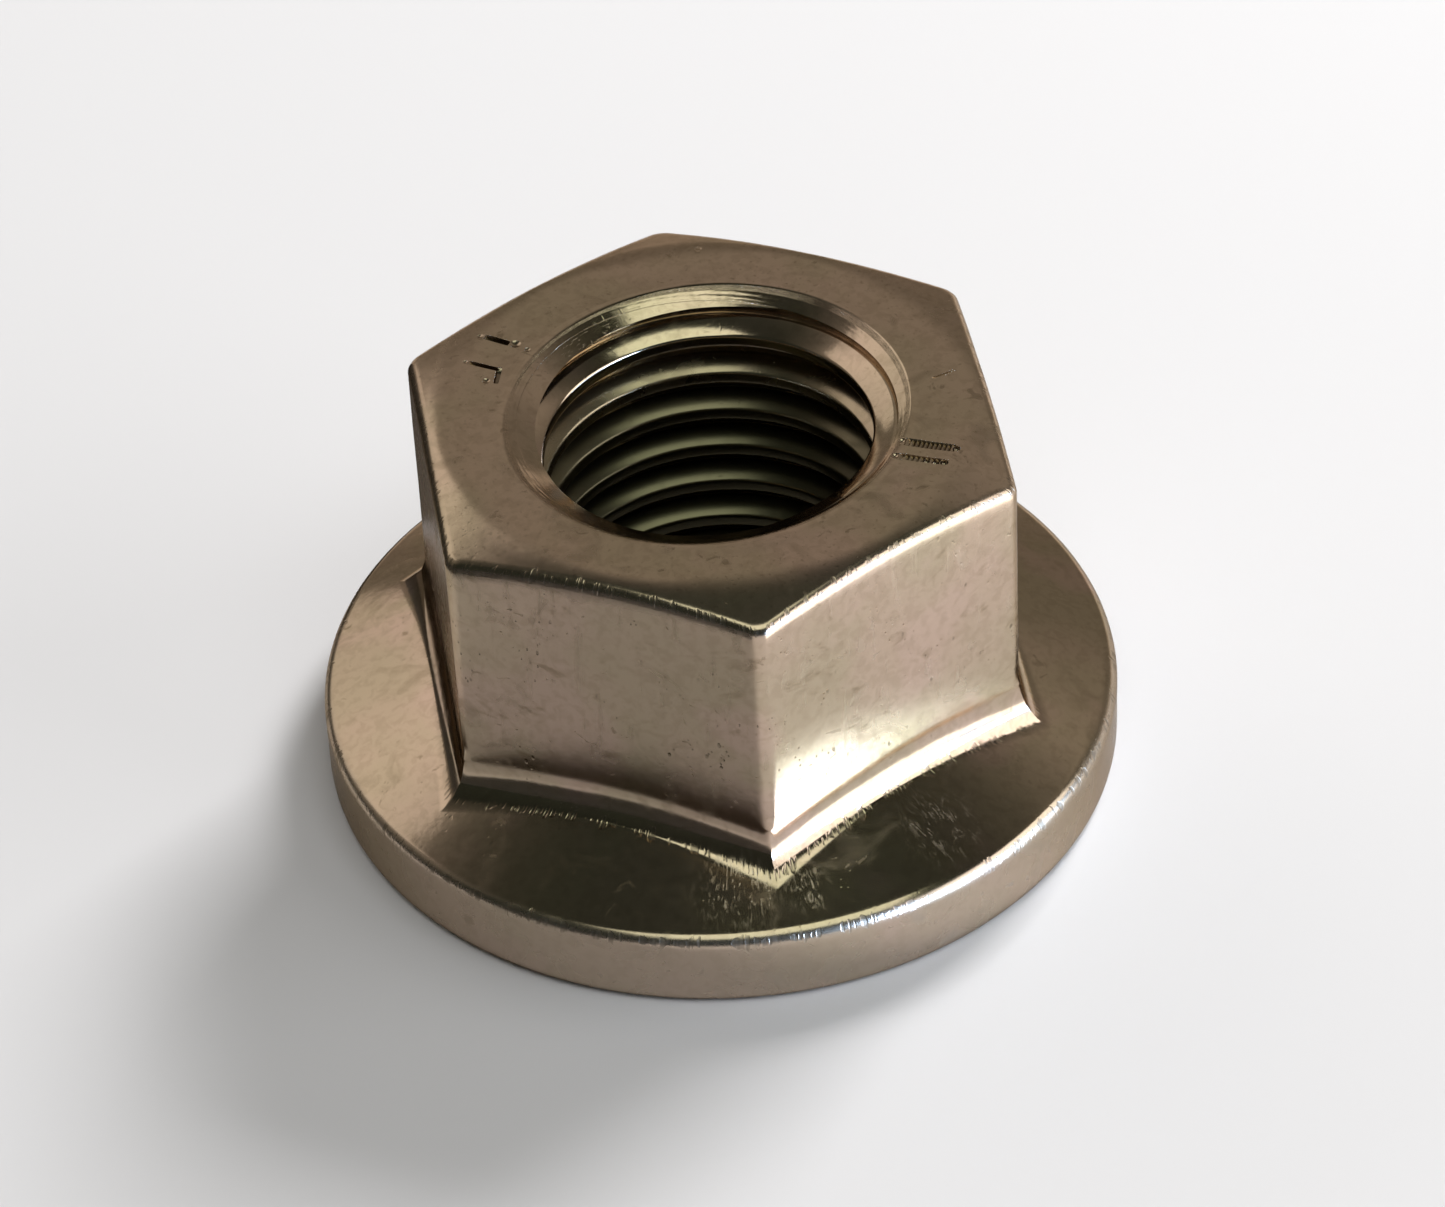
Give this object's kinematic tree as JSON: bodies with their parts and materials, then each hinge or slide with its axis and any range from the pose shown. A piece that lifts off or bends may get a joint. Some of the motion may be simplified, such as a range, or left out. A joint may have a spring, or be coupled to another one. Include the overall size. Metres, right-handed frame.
{
  "type": "flange lock nut",
  "caption": "Hexagonal lock nut with a wide conical flange, hollow fillets where the flats meet it, and a threaded through hole countersunk at both ends.",
  "frame": {"origin": "centre of the bearing face, on the thread axis, so the nut stands on z = 0", "axes": "+Z along the thread axis from the bearing face to the chamfered top; two opposite flats of the hexagon face +X and -X, and two corners lie along +Y and -Y"},
  "size_m": [0.0344, 0.0344, 0.0178],
  "materials": {
    "plated_steel": "smooth satin plating with fine scratches, pits and shallow dents"
  },
  "bodies": {
    "root": {"flange_nut": "plated_steel"}
  },
  "joints": []
}
